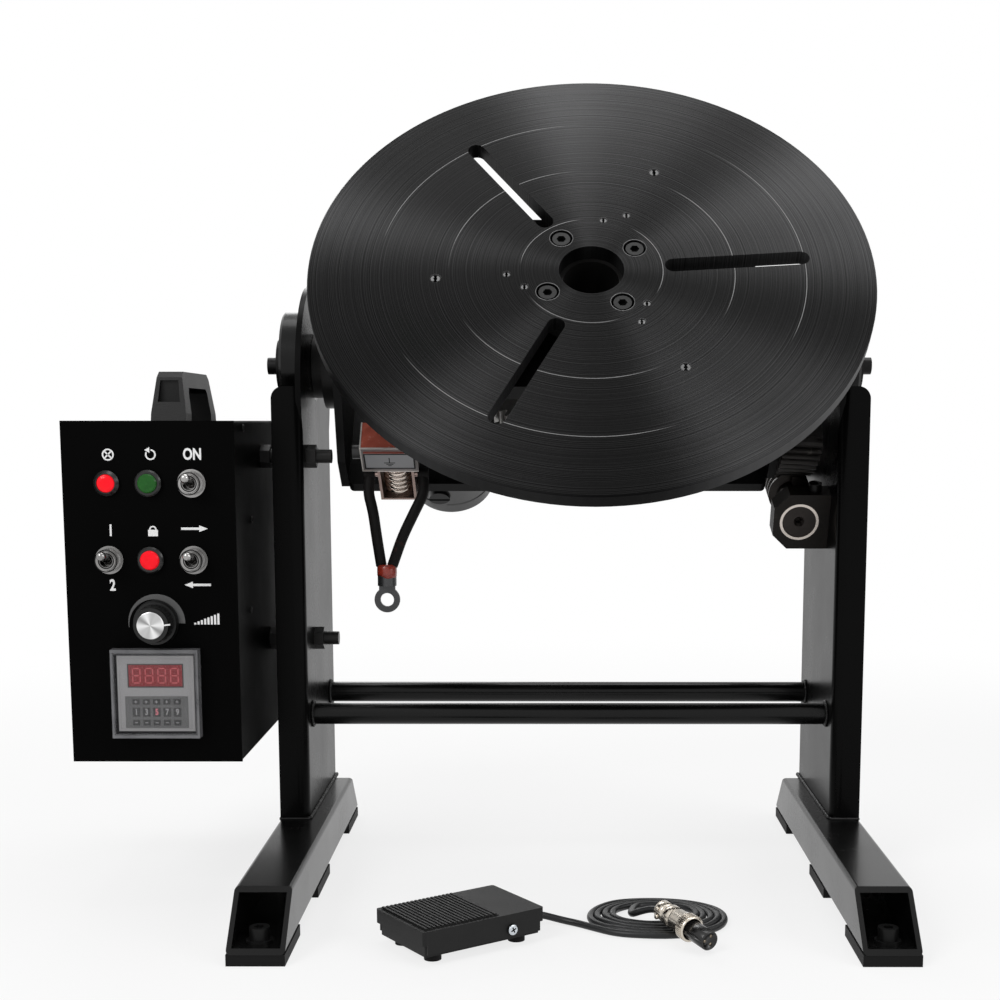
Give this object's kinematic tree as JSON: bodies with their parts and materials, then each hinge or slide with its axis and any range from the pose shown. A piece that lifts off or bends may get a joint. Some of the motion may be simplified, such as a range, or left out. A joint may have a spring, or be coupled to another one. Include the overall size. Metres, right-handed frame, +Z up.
{
  "type": "welding positioner",
  "caption": "Bench welding positioner: slotted round table on a hollow spindle in a tilting cradle, with a worm tilt drive, control box, foot pedal and earth terminal.",
  "frame": {"origin": "on the floor, at the middle of the object's bounding box in X and Y", "axes": "+X across the stand, from the control box's side to the worm's side; +Y to the rear; +Z up; the table tilts about X and stands tilted 50 degrees towards -Y at rest"},
  "size_m": [0.5702, 0.446, 0.5905],
  "materials": {
    "black_paint": "semi-gloss powder coat, fine orange peel",
    "box_paint": "satin black powder coat with fine texture",
    "panel_black": null,
    "table_steel": "blackened steel with turned rings",
    "black_oxide": "black oxide, lightly oiled",
    "gear_steel": "machined steel with light grease",
    "bright_steel": "ground steel",
    "zinc": "zinc plated",
    "chrome": "nickel chrome plate",
    "bronze": "sintered bronze",
    "copper": "bare copper, a little tarnished",
    "red_lens": "glossy red plastic",
    "green_cap": "glossy green plastic",
    "knob_black": "moulded black plastic with a silver cap",
    "timer_grey": "moulded grey plastic",
    "window": "clear plastic cover",
    "handle_black": "moulded black plastic, fine grain",
    "board_green": "circuit board",
    "pedal_black": "moulded black plastic, fine grain",
    "rubber": "black rubber",
    "cable": "black cable jacket",
    "pad_rubber": "black rubber pad"
  },
  "bodies": {
    "stand": {"foot_tubes": "black_paint", "foot_pads": "pad_rubber", "foot_bolts": "black_oxide", "left_upright": "black_paint", "right_upright": "black_paint", "crossbars": "black_paint", "trunnion_housings": "black_paint", "trunnion_bushes": "bronze", "worm_blocks": "black_oxide", "worm_bushes": "bright_steel", "block_screws": "black_oxide", "box_panel": "panel_black", "box_shell": "box_paint", "box_rear_cover": "box_paint", "rear_sockets": "knob_black", "box_handle": "handle_black", "pilot_lamp": "red_lens", "button_bezels": "knob_black", "panel_switches": "chrome", "timer": "timer_grey", "timer_cover": "window", "drive_board": "board_green", "box_studs": "black_oxide", "pedal_base": "pedal_black", "pedal_feet": "rubber", "pedal_switch": "knob_black", "pedal_gland": "rubber", "pedal_cord": "cable", "cord_coil": "cable", "cord_plug": "chrome"},
    "cradle": {"cradle_ears": "black_paint", "cradle_base": "black_paint", "bearing_plate": "black_paint", "pillars": "black_oxide", "lower_housing": "black_paint", "spindle_bearings": "bright_steel", "trunnion_shafts": "black_oxide", "trunnion_caps": "black_oxide", "worm_sector": "black_oxide", "gearbox": "black_oxide", "motor": "black_paint", "earth_block": "copper", "earth_bracket": "copper", "earth_spring": "zinc"},
    "table": {"table": "table_steel", "spindle": "black_oxide", "spindle_gear": "gear_steel", "table_screws": "black_oxide"},
    "pinion": {"drive_pinion": "gear_steel"},
    "worm": {"worm": "gear_steel", "handwheel": "black_oxide"},
    "earth_leads": {"earth_leads": "cable", "earth_lug": "zinc"},
    "reset_button": {"reset_button": "green_cap"},
    "lock_button": {"lock_button": "red_lens"},
    "power_lever": {"power_lever": "chrome"},
    "mode_lever": {"mode_lever": "chrome"},
    "direction_lever": {"direction_lever": "chrome"},
    "speed_knob": {"speed_knob": "knob_black"},
    "treadle": {"treadle": "pedal_black"}
  },
  "joints": [
    {"name": "tilt", "type": "hinge", "parent": "stand", "child": "cradle", "pos_m": [0.05695, 0.05819, 0.3737], "axis": [1, 0, 0], "range_deg": [-50, 40]},
    {"name": "table_spin", "type": "hinge", "parent": "cradle", "child": "table", "pos_m": [0.07145, 0.05819, 0.3737], "axis": [0, -0.766, 0.6428], "continuous": true},
    {"name": "pinion_spin", "type": "hinge", "parent": "cradle", "child": "pinion", "pos_m": [-0.03855, 0.05819, 0.3737], "axis": [0, -0.766, 0.6428], "continuous": true},
    {"name": "worm_turn", "type": "hinge", "parent": "stand", "child": "worm", "pos_m": [0.22745, 0.09157, 0.28583], "axis": [0, 0.9348, 0.3551], "continuous": true},
    {"name": "lead_hang", "type": "hinge", "parent": "cradle", "child": "earth_leads", "pos_m": [-0.07155, 0.02117, 0.2938], "axis": [1, 0, 0], "range_deg": [-45, 55]},
    {"name": "reset_press", "type": "slide", "parent": "stand", "child": "reset_button", "axis": [0, 1, 0], "range_m": [0, 0.0025], "stiffness_N_per_m": 400, "springref_m": -0.002},
    {"name": "lock_press", "type": "slide", "parent": "stand", "child": "lock_button", "axis": [0, 1, 0], "range_m": [0, 0.0025], "stiffness_N_per_m": 400, "springref_m": -0.002},
    {"name": "power_throw", "type": "hinge", "parent": "stand", "child": "power_lever", "pos_m": [-0.19805, -0.09381, 0.291], "axis": [1, 0, 0], "range_deg": [0, 24]},
    {"name": "mode_throw", "type": "hinge", "parent": "stand", "child": "mode_lever", "pos_m": [-0.25505, -0.09381, 0.2395], "axis": [1, 0, 0], "range_deg": [0, 24]},
    {"name": "direction_throw", "type": "hinge", "parent": "stand", "child": "direction_lever", "pos_m": [-0.19805, -0.09381, 0.2395], "axis": [1, 0, 0], "range_deg": [0, 24]},
    {"name": "speed_turn", "type": "hinge", "parent": "stand", "child": "speed_knob", "pos_m": [-0.22455, -0.09481, 0.197], "axis": [0, -1, 0], "range_deg": [-135, 135]},
    {"name": "treadle_press", "type": "hinge", "parent": "stand", "child": "treadle", "pos_m": [0.00067, -0.16175, 0.0125], "axis": [-0.5779, 0.8161, 0], "range_deg": [-3, 0], "stiffness_Nm_per_rad": 3, "springref_deg": 3.44}
  ],
  "couplings": [
    {"joint": "pinion_spin", "follows": "table_spin", "ratio": -4.5},
    {"joint": "worm_turn", "follows": "tilt", "ratio": -64},
    {"joint": "lead_hang", "follows": "tilt", "ratio": -1}
  ]
}
